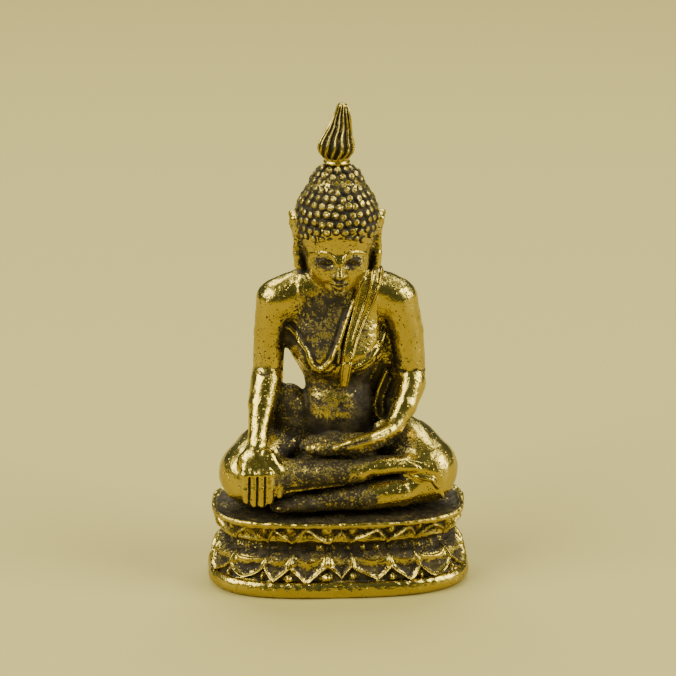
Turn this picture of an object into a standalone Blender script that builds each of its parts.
"""Seated Buddha statuette on a double-lotus pedestal, a pocket-size brass casting.

The figure sits in the earth-touching posture: right hand over the right knee, left hand in
the lap. Each sculptural section is its own solid, parted where a founder would part the
casting and held by dowel pins. Pieces are modelled in millimetres and finish() makes them
metric. +Z is up, the figure faces -Y, and the origin is the centre of the pedestal's underside.
"""

import math

import bmesh
import bpy
import numpy as np
from mathutils import Matrix, Vector

MM = 0.001
GAP = 0.2  # clearance left between neighbouring pieces
PIN_RADIUS = 0.45

# Pedestal: heights from the ground, and half sizes of its plan.
PLINTH_TOP = 1.0
LOWER_LOTUS_TOP = 3.2
SEAT_TOP = 5.0
RIM_HEIGHT = 0.12
BASE_HALF = (8.45, 4.5)
RIM_HALF = (8.05, 4.2)
WAIST_HALF = (7.0, 3.3)
PETALS = 28
PLAN = 2.9  # bulk of the plan: 2 is an ellipse, more is squarer

# Figure: places that several pieces share.
KNEE = (5.65, -0.8, 7.25)
KNEE_RADIUS = 2.2
SHOULDER = (3.95, 1.1, 18.4)
ELBOW_RIGHT = (-4.5, 0.5, 13.3)
WRIST_RIGHT = (-5.15, -1.5, 9.8)
ELBOW_LEFT = (4.75, 0.75, 12.1)
WRIST_LEFT = (3.3, -1.2, 10.5)
HEAD_CENTRE = (0.0, 0.75, 23.2)
HAIR_CENTRE = (0.0, 1.05, 23.75)
HAIR_RADII = (2.8, 3.0, 3.2)
HAIRLINE_Z = 23.2
HAIR_TOP = 25.9
FINIAL_BASE = 27.15
FINIAL_TIP = 30.95

# Facet sizes of the remeshed sections.
COARSE = 0.8
FINE = 0.45


def start_scene():
    """Clears the scene and returns the collection and the empty that hold the statue."""
    for obj in list(bpy.data.objects):
        bpy.data.objects.remove(obj)
    statue = bpy.data.collections.new("buddha_statue")
    bpy.context.scene.collection.children.link(statue)
    stand = bpy.data.objects.new("buddha_statue_origin", None)
    statue.objects.link(stand)
    return statue, stand


def brass(name, colour, roughness):
    """A metallic material of that colour and roughness."""
    material = bpy.data.materials.new(name)
    material.use_nodes = True
    shader = material.node_tree.nodes["Principled BSDF"]
    shader.inputs["Base Color"].default_value = (*colour, 1.0)
    shader.inputs["Metallic"].default_value = 1.0
    shader.inputs["Roughness"].default_value = roughness
    return material


def object_from(bm, name="shape"):
    """A mesh object in the scene, made from a bmesh."""
    mesh = bpy.data.meshes.new(name)
    bm.to_mesh(mesh)
    bm.free()
    obj = bpy.data.objects.new(name, mesh)
    bpy.context.scene.collection.objects.link(obj)
    return obj


def placed(centre, turn=(0, 0, 0), stretch=(1, 1, 1)):
    """Matrix that stretches, turns (degrees about X, Y, Z) and moves a unit shape."""
    matrix = Matrix.Translation(centre)
    for axis, angle in zip("XYZ", turn):
        matrix = matrix @ Matrix.Rotation(math.radians(angle), 4, axis)
    return matrix @ Matrix.Diagonal((*stretch, 1))


def ball(centre, radii, turn=(0, 0, 0)):
    """A closed ellipsoid."""
    bm = bmesh.new()
    bmesh.ops.create_uvsphere(
        bm, u_segments=20, v_segments=12, radius=1, matrix=placed(centre, turn, radii)
    )
    return object_from(bm)


def limb(points, radii):
    """A chain of balls joined by tapered lengths, for arms, legs and fingers."""
    bm = bmesh.new()
    for centre, radius in zip(points, radii):
        bmesh.ops.create_uvsphere(
            bm, u_segments=16, v_segments=10, radius=radius, matrix=Matrix.Translation(centre)
        )
    for i in range(len(points) - 1):
        start, end = Vector(points[i]), Vector(points[i + 1])
        along = end - start
        turned = along.to_track_quat("Z", "Y").to_matrix().to_4x4()
        bmesh.ops.create_cone(
            bm,
            cap_ends=True,
            segments=16,
            radius1=radii[i],
            radius2=radii[i + 1],
            depth=along.length,
            matrix=Matrix.Translation((start + end) / 2) @ turned,
        )
    return object_from(bm)


def rod(start, end, radius, segments=20):
    """A straight cylinder between two points."""
    bm = bmesh.new()
    start, end = Vector(start), Vector(end)
    along = end - start
    turned = along.to_track_quat("Z", "Y").to_matrix().to_4x4()
    bmesh.ops.create_cone(
        bm,
        cap_ends=True,
        segments=segments,
        radius1=radius,
        radius2=radius,
        depth=along.length,
        matrix=Matrix.Translation((start + end) / 2) @ turned,
    )
    return object_from(bm)


def box(low, high):
    """A box between two corners."""
    bm = bmesh.new()
    size = Vector(high) - Vector(low)
    centre = (Vector(high) + Vector(low)) / 2
    bmesh.ops.create_cube(bm, size=1, matrix=placed(centre, stretch=size))
    return object_from(bm)


def bake(obj):
    """Replaces the object's mesh by its evaluated one and drops its modifiers."""
    bpy.context.view_layer.update()
    evaluated = obj.evaluated_get(bpy.context.evaluated_depsgraph_get())
    mesh = bpy.data.meshes.new_from_object(evaluated)
    obj.modifiers.clear()
    obj.data = mesh
    return obj


def fused(shapes, facet):
    """One smooth body made of overlapping shapes: they are joined and voxel remeshed."""
    bm = bmesh.new()
    for shape in shapes:
        bm.from_mesh(shape.data)
        bpy.data.objects.remove(shape)
    mesh = bpy.data.meshes.new("fused")
    bm.to_mesh(mesh)
    bm.free()
    obj = bpy.data.objects.new("fused", mesh)
    bpy.context.scene.collection.objects.link(obj)
    remesh = obj.modifiers.new("one_body", "REMESH")
    remesh.mode = "VOXEL"
    remesh.voxel_size = facet
    smooth = obj.modifiers.new("soften", "SMOOTH")
    smooth.factor = 0.5
    smooth.iterations = 3
    return bake(obj)


def boolean(obj, other, operation):
    """Joins or cuts obj with other, which is used up, and welds the slivers a cut leaves."""
    modifier = obj.modifiers.new(operation.lower(), "BOOLEAN")
    modifier.operation = operation
    modifier.solver = "EXACT"
    modifier.object = other
    bake(obj)
    bpy.data.objects.remove(other)
    bm = bmesh.new()
    bm.from_mesh(obj.data)
    bmesh.ops.remove_doubles(bm, verts=bm.verts, dist=0.02)
    bmesh.ops.dissolve_degenerate(bm, edges=bm.edges, dist=0.002)
    bm.to_mesh(obj.data)
    bm.free()
    return obj


def clear_of(obj, *neighbours):
    """Cuts obj back until it keeps GAP to every neighbour, and drops any crumbs left over."""
    bm = bmesh.new()
    for neighbour in neighbours:
        bm.from_mesh(neighbour.data)
    bm.normal_update()
    for vertex in bm.verts:
        vertex.co += vertex.normal * GAP
    cutter = object_from(bm, "clearance")
    remesh = cutter.modifiers.new("one_body", "REMESH")
    remesh.mode = "VOXEL"
    remesh.voxel_size = FINE
    boolean(obj, bake(cutter), "DIFFERENCE")
    return largest_body(obj)


def largest_body(obj):
    """Keeps only the connected body with the most faces."""
    bm = bmesh.new()
    bm.from_mesh(obj.data)
    unseen, bodies = set(bm.faces), []
    while unseen:
        front = [unseen.pop()]
        body = list(front)
        while front:
            for edge in front.pop().edges:
                for face in edge.link_faces:
                    if face in unseen:
                        unseen.remove(face)
                        front.append(face)
                        body.append(face)
        bodies.append(body)
    bodies.sort(key=len)
    for body in bodies[:-1]:
        loose = {vertex for face in body for vertex in face.verts}
        bmesh.ops.delete(bm, geom=list(loose), context="VERTS")
    bm.to_mesh(obj.data)
    bm.free()
    return obj


def plan_outline(half, bulk, count=56):
    """Points evenly spaced round a long rounded plan, a superellipse of that bulk."""
    turns = np.linspace(0, 2 * np.pi, 1441)
    across, along = np.cos(turns), np.sin(turns)
    x = half[0] * np.sign(across) * np.abs(across) ** (2 / bulk)
    y = half[1] * np.sign(along) * np.abs(along) ** (2 / bulk)
    walked = np.concatenate(([0], np.cumsum(np.hypot(np.diff(x), np.diff(y)))))
    stops = np.arange(count) / count * walked[-1]
    return list(zip(np.interp(stops, walked, x).tolist(), np.interp(stops, walked, y).tolist()))


def loft(rings):
    """A closed skin through rings that have the same number of points, capped at both ends."""
    bm = bmesh.new()
    loops = [[bm.verts.new(point) for point in ring] for ring in rings]
    count = len(loops[0])
    for low, high in zip(loops, loops[1:]):
        for i in range(count):
            j = (i + 1) % count
            bm.faces.new((low[i], low[j], high[j], high[i]))
    bm.faces.new(reversed(loops[0]))
    bm.faces.new(loops[-1])
    bmesh.ops.triangulate(bm, faces=[f for f in bm.faces if len(f.verts) > 4])
    bmesh.ops.recalc_face_normals(bm, faces=bm.faces)
    return object_from(bm)


def petalled(half, bulk, z, relief, phase):
    """A plan ring whose edge swells into lotus petals of the given relief."""
    count = PETALS * 4
    ring = []
    for i, (x, y) in enumerate(plan_outline(half, bulk, count)):
        swell = 1 + relief * abs(math.cos(math.pi * (PETALS * i / count + phase))) / half[1]
        ring.append((x * swell, y * swell, z))
    return ring


def pedestal():
    """The plinth, the down-turned lotus with the waist, and the up-turned lotus with the seat."""
    plinth_levels = ((0.0, 0.2), (0.25, 0.0), (PLINTH_TOP - 0.25, 0.0), (PLINTH_TOP, 0.2))
    plinth = loft(
        [
            [(x, y, z) for x, y in plan_outline((BASE_HALF[0] - inset, BASE_HALF[1] - inset), PLAN)]
            for z, inset in plinth_levels
        ]
    )
    low = PLINTH_TOP + GAP
    lower_levels = (
        (low, (8.15, 4.25), 0.05),
        (low + 0.7, (7.95, 4.0), 0.2),
        (low + 1.2, (7.5, 3.6), 0.2),
        (low + 1.45, WAIST_HALF, 0.0),
        (LOWER_LOTUS_TOP, WAIST_HALF, 0.0),
    )
    lower = loft([petalled(half, PLAN, z, relief, 0.0) for z, half, relief in lower_levels])
    low = LOWER_LOTUS_TOP + GAP
    upper_levels = (
        (low, (7.05, 3.4), 0.0),
        (low + 0.35, (7.35, 3.65), 0.15),
        (low + 1.0, (7.8, 4.0), 0.15),
        (SEAT_TOP - 0.15, RIM_HALF, 0.0),
        (SEAT_TOP + RIM_HEIGHT, RIM_HALF, 0.0),
    )
    upper = loft([petalled(half, PLAN, z, relief, 0.5) for z, half, relief in upper_levels])
    floor_half = (RIM_HALF[0] - 0.3, RIM_HALF[1] - 0.3)
    recess = loft(
        [
            [(x, y, z) for x, y in plan_outline(floor_half, PLAN)]
            for z in (SEAT_TOP, SEAT_TOP + 1)
        ]
    )
    boolean(upper, recess, "DIFFERENCE")
    return plinth, lower, upper


def mirrored(point, side):
    """The point with its X put on that side, -1 for the figure's right and 1 for its left."""
    return (side * abs(point[0]), point[1], point[2])


def lower_body():
    """The hips with the lap, both folded legs and both feet, cut clear of each other."""
    hips = fused(
        [
            ball((0, 1.55, 7.6), (4.4, 2.25, 2.6)),
            ball((0, -0.3, 7.3), (3.9, 1.9, 1.6)),
            limb([(-3.2, 1.6, 6.6), (3.2, 1.6, 6.6)], [2.2, 2.2]),
        ],
        COARSE,
    )
    right_leg = fused(
        [
            limb([(-3.9, 1.3, 8.1), mirrored(KNEE, -1)], [2.1, KNEE_RADIUS]),
            limb([(-5.1, -1.1, 7.3), (-2.5, -2.1, 7.8), (0.6, -2.25, 8.0)], [1.7, 1.0, 0.85]),
        ],
        COARSE,
    )
    left_leg = fused(
        [
            limb([(3.9, 1.3, 8.1), mirrored(KNEE, 1)], [2.1, KNEE_RADIUS]),
            limb([(5.2, -1.3, 6.9), (2.6, -2.0, 6.5), (0.2, -2.1, 6.35)], [1.5, 0.95, 0.85]),
        ],
        COARSE,
    )
    right_foot = fused(
        [
            ball((2.6, -2.3, 8.15), (2.1, 0.75, 0.8), (0, -2, 3)),
            ball((4.4, -2.1, 8.2), (1.4, 0.6, 0.65), (0, 0, 6)),
        ],
        FINE,
    )
    left_foot = fused(
        [
            ball((-2.0, -2.35, 6.1), (1.7, 0.75, 0.6), (0, 4, 3)),
            ball((-3.4, -2.6, 5.95), (0.9, 0.5, 0.45)),
        ],
        FINE,
    )
    clear_of(right_foot, right_leg)
    clear_of(left_leg, right_leg, right_foot)
    clear_of(left_foot, right_leg, left_leg)
    clear_of(hips, right_leg, left_leg, right_foot, left_foot)
    for piece in (hips, right_leg, left_leg, left_foot):
        boolean(piece, box((-12, -8, 0), (12, 8, SEAT_TOP + GAP)), "DIFFERENCE")
    return hips, right_leg, left_leg, right_foot, left_foot


def torso_body(hips):
    """The waist, chest and shoulders as a skin through level ovals, resting on the hips."""
    levels = (  # height, centre depth, half width, half depth
        (9.4, 1.35, 2.7, 1.9),
        (11.2, 1.35, 2.4, 1.75),
        (13.0, 1.4, 2.2, 1.65),
        (14.6, 1.3, 2.7, 1.85),
        (16.0, 1.15, 3.3, 2.05),
        (17.5, 1.1, 3.5, 2.1),
        (18.8, 1.15, 3.4, 1.8),
        (19.6, 1.2, 2.9, 1.5),
        (20.2, 1.25, 2.0, 1.25),
    )
    count = 28
    turns = [2 * math.pi * i / count for i in range(count)]
    torso = loft(
        [
            [(wide * math.cos(t), centre + deep * math.sin(t), z) for t in turns]
            for z, centre, wide, deep in levels
        ]
    )
    return clear_of(torso, hips)


def arms(torso, hips, legs):
    """Both arms from the shoulder to the wrist, cut clear of the trunk and the knees."""
    right = fused(
        [
            limb(
                [mirrored(SHOULDER, -1), (-4.4, 0.95, 16.0), ELBOW_RIGHT, (-4.9, -0.4, 11.6)],
                [1.5, 1.0, 1.15, 0.85],
            ),
            limb([(-4.9, -0.4, 11.6), WRIST_RIGHT], [0.85, 0.68]),
        ],
        FINE + 0.07,
    )
    left = fused(
        [
            limb(
                [mirrored(SHOULDER, 1), (4.6, 1.0, 16.0), (4.75, 0.9, 13.8), ELBOW_LEFT],
                [1.5, 1.15, 1.1, 1.05],
            ),
            limb([ELBOW_LEFT, (4.1, -0.4, 11.1), WRIST_LEFT], [1.0, 0.85, 0.65]),
            ball((3.7, 1.3, 13.6), (1.0, 0.6, 2.6)),
        ],
        FINE + 0.07,
    )
    for arm in (right, left):
        clear_of(arm, torso, hips, *legs)
    return right, left


def right_hand(arm, leg):
    """The hand laid over the right knee: palm, four fingers pointing down, and the thumb."""
    palm_centre = (-5.3, -2.75, 8.3)
    knuckle_z, tip_z = 7.5, 5.85
    shapes = [
        limb([WRIST_RIGHT, (-5.2, -2.2, 9.0)], [0.6, 0.7]),
        ball(palm_centre, (1.05, 0.5, 1.25), (-22, 0, 0)),
        limb([(-4.6, -2.7, 8.4), (-4.1, -3.0, 7.4), (-4.0, -3.2, 6.5)], [0.4, 0.28, 0.24]),
    ]
    for finger in range(4):
        x = palm_centre[0] + 0.5 * (finger - 1.5)
        shapes.append(limb([(x, -3.1, knuckle_z), (x, -3.5, tip_z)], [0.33, 0.28]))
    hand = fused(shapes, FINE - 0.08)
    return clear_of(hand, arm, leg)


def left_hand(arm, neighbours):
    """The open hand in the lap, palm up, with the thumb along its front edge."""
    hand = fused(
        [
            limb([WRIST_LEFT, (2.4, -1.5, 10.1)], [0.55, 0.6]),
            ball((0.9, -1.5, 9.75), (2.0, 1.1, 0.5)),
            ball((-1.1, -1.5, 9.6), (1.5, 0.9, 0.42)),
            limb([(2.0, -2.2, 10.05), (-0.3, -2.45, 9.85)], [0.36, 0.28]),
        ],
        FINE,
    )
    return clear_of(hand, arm, *neighbours)


def shoulder_sash(*neighbours):
    """The folded cloth over the left shoulder: a band hung front and back, cut to fit."""
    stations = (  # centre of the band's outer face, outward direction, half width
        ((1.15, -1.0, 12.6), (0.1, -1.0, 0.0), 0.75),
        ((1.3, -1.3, 14.6), (0.1, -1.0, 0.0), 0.8),
        ((1.6, -1.5, 16.6), (0.2, -1.0, 0.1), 0.85),
        ((1.9, -1.2, 18.3), (0.2, -1.0, 0.5), 0.9),
        ((2.15, -0.3, 19.8), (0.3, -0.7, 0.9), 0.9),
        ((2.25, 1.2, 20.35), (0.4, 0.0, 1.0), 0.9),
        ((2.15, 2.8, 19.5), (0.3, 0.7, 0.8), 0.9),
        ((1.9, 3.4, 18.0), (0.2, 1.0, 0.3), 0.9),
        ((1.6, 3.7, 16.0), (0.2, 1.0, 0.0), 0.85),
        ((1.3, 3.5, 13.4), (0.1, 1.0, 0.0), 0.8),
        ((1.1, 3.5, 10.6), (0.1, 1.0, 0.0), 0.8),
    )
    rings = []
    for i, (centre, outward, half) in enumerate(stations):
        centre, outward = Vector(centre), Vector(outward).normalized()
        before = Vector(stations[max(i - 1, 0)][0])
        after = Vector(stations[min(i + 1, len(stations) - 1)][0])
        across = outward.cross((after - before).normalized()).normalized() * half
        deep = outward * -1.0
        rings.append([centre + across, centre, centre - across, centre - across + deep,
                      centre + deep, centre + across + deep])
    return clear_of(loft(rings), *neighbours)


def head_pieces(torso):
    """The head with its neck, both long ears, the hair cap and the topknot."""
    x, y, z = HEAD_CENTRE
    head = fused(
        [
            ball((x, y + 0.3, z - 0.2), (2.2, 2.3, 1.9)),
            ball((x, y - 0.6, z - 1.3), (2.05, 2.0, 2.6)),
            ball((x, y - 0.9, z - 2.3), (1.85, 1.6, 1.6)),
            ball((x, y - 1.75, z - 3.3), (0.95, 0.75, 0.8)),
            ball((x, y - 2.65, z - 1.5), (0.33, 0.45, 0.9), (-14, 0, 0)),
            ball((x, y - 2.35, z - 2.65), (0.6, 0.35, 0.3)),
            limb([(x, y + 0.55, 18.9), (x, y + 0.4, 21.0)], [1.35, 1.3]),
        ],
        FINE + 0.07,
    )
    ears = [
        ball((side * 2.55, 0.95, 22.15), (0.36, 0.65, 1.9), (0, side * 6, 0)) for side in (-1, 1)
    ]
    hair = ball(HAIR_CENTRE, HAIR_RADII)
    for low, high in (
        ((-6, -6, 15), (6, HAIR_CENTRE[1] + 0.7, HAIRLINE_Z)),
        ((-6, -6, 15), (6, 8, 21.3)),
    ):
        boolean(hair, box(low, high), "DIFFERENCE")
    boolean(hair, box((-6, -6, HAIR_TOP), (6, 8, 30)), "DIFFERENCE")
    clear_of(hair, head, *ears)
    for ear in ears:
        clear_of(ear, head)
    topknot = ball((0, 1.25, 25.75), (1.7, 1.7, 1.6))
    boolean(topknot, box((-6, -6, 20), (6, 8, HAIR_TOP + GAP)), "DIFFERENCE")
    boolean(topknot, box((-6, -6, FINIAL_BASE - GAP), (6, 8, 30)), "DIFFERENCE")
    clear_of(torso, head)
    return head, ears, hair, topknot


def flame_finial(pieces):
    """The flame, turned about its own axis, with a tenon down through the given pieces."""
    height = FINIAL_TIP - FINIAL_BASE
    profile = (  # share of the height, radius
        (1.0, 0.0),
        (0.96, 0.2),
        (0.8, 0.4),
        (0.6, 0.7),
        (0.42, 1.02),
        (0.28, 1.18),
        (0.14, 1.0),
        (0.06, 0.78),
        (0.0, 0.75),
        (0.0, PIN_RADIUS),
        (-0.75, PIN_RADIUS),
        (-0.75, 0.0),
    )
    bm = bmesh.new()
    points = [bm.verts.new((radius, 0, height * share)) for share, radius in profile]
    for start, end in zip(points, points[1:]):
        bm.edges.new((start, end))
    finial = object_from(bm)
    screw = finial.modifiers.new("turned", "SCREW")
    screw.steps = screw.render_steps = 20
    screw.use_merge_vertices = True
    screw.merge_threshold = 0.0001
    screw.use_smooth_shade = True
    bake(finial)
    finial.data.transform(Matrix.Translation((0, 1.25, FINIAL_BASE)))
    for piece in pieces:
        bore(piece, (0, 1.25, FINIAL_BASE - 0.75 * height - GAP), (0, 1.25, 29))
    return finial


def bore(obj, start, end, radius=PIN_RADIUS + GAP):
    """Drills a hole for a dowel pin, with GAP of clearance round it."""
    return boolean(obj, rod(start, end, radius, 16), "DIFFERENCE")


def pinned(start, end, pieces):
    """A dowel pin between two points, with a hole for it in each of the pieces it joins."""
    start, end = Vector(start), Vector(end)
    reach = (end - start).normalized() * GAP
    for piece in pieces:
        bore(piece, start - reach, end + reach)
    return rod(start, end, PIN_RADIUS, 16)


def finish(obj, name, material, statue, stand):
    """Names the piece, makes it metric, centres its origin, shades it and stands it in place."""
    obj.name = obj.data.name = name
    corners = np.array([corner[:] for corner in obj.bound_box])
    centre = Vector((corners.min(axis=0) + corners.max(axis=0)) / 2)
    obj.data.transform(Matrix.Scale(MM, 4) @ Matrix.Translation(-centre))
    obj.location = centre * MM
    obj.parent = stand
    obj.data.materials.clear()
    obj.data.materials.append(material)
    obj.data.shade_smooth()
    obj.data.set_sharp_from_angle(angle=math.radians(40))
    bpy.context.scene.collection.objects.unlink(obj)
    statue.objects.link(obj)


def main():
    """Builds every piece, pins them together and finishes them."""
    statue, stand = start_scene()
    bright = brass("polished_brass", (0.78, 0.58, 0.2), 0.28)
    aged = brass("aged_brass", (0.42, 0.3, 0.12), 0.42)
    pin_wire = brass("pin_brass", (0.6, 0.45, 0.18), 0.4)

    plinth, lower_lotus, upper_lotus = pedestal()
    hips, right_leg, left_leg, right_foot, left_foot = lower_body()
    torso = torso_body(hips)
    right_arm, left_arm = arms(torso, hips, (right_leg, left_leg))
    hand_over_knee = right_hand(right_arm, right_leg)
    hand_in_lap = left_hand(left_arm, (hips, right_leg, left_leg, right_foot, torso))
    head, ears, hair_cap, topknot = head_pieces(torso)
    sash = shoulder_sash(torso, left_arm, head)
    finial = flame_finial((topknot, hair_cap, head))

    pins = {
        "waist_pin": pinned((0, 1.4, 8.2), (0, 1.4, 12.2), (hips, torso)),
        "neck_pin": pinned((0, 1.25, 17.0), (0, 1.25, 21.0), (torso, head)),
    }
    for side, name, arm in ((-1, "right", right_arm), (1, "left", left_arm)):
        pins[f"{name}_pedestal_pin"] = pinned(
            (side * 1.3, 1.6, 0.5),
            (side * 1.3, 1.6, 6.8),
            (plinth, lower_lotus, upper_lotus, hips),
        )
        pins[f"{name}_shoulder_pin"] = pinned(
            (side * 2.3, 1.1, 18.1), (side * 4.6, 1.1, 18.1), (torso, arm)
        )

    bright_pieces = {
        "plinth": plinth,
        "lower_lotus": lower_lotus,
        "right_leg": right_leg,
        "left_leg": left_leg,
        "right_foot": right_foot,
        "right_arm": right_arm,
        "right_hand": hand_over_knee,
        "left_arm": left_arm,
        "left_hand": hand_in_lap,
        "torso": torso,
        "shoulder_sash": sash,
        "head": head,
        "right_ear": ears[0],
        "left_ear": ears[1],
        "flame_finial": finial,
    }
    aged_pieces = {
        "upper_lotus": upper_lotus,
        "hips": hips,
        "left_foot": left_foot,
        "hair_cap": hair_cap,
        "topknot": topknot,
    }
    for pieces, material in ((bright_pieces, bright), (aged_pieces, aged), (pins, pin_wire)):
        for name, obj in pieces.items():
            finish(obj, name, material, statue, stand)


main()
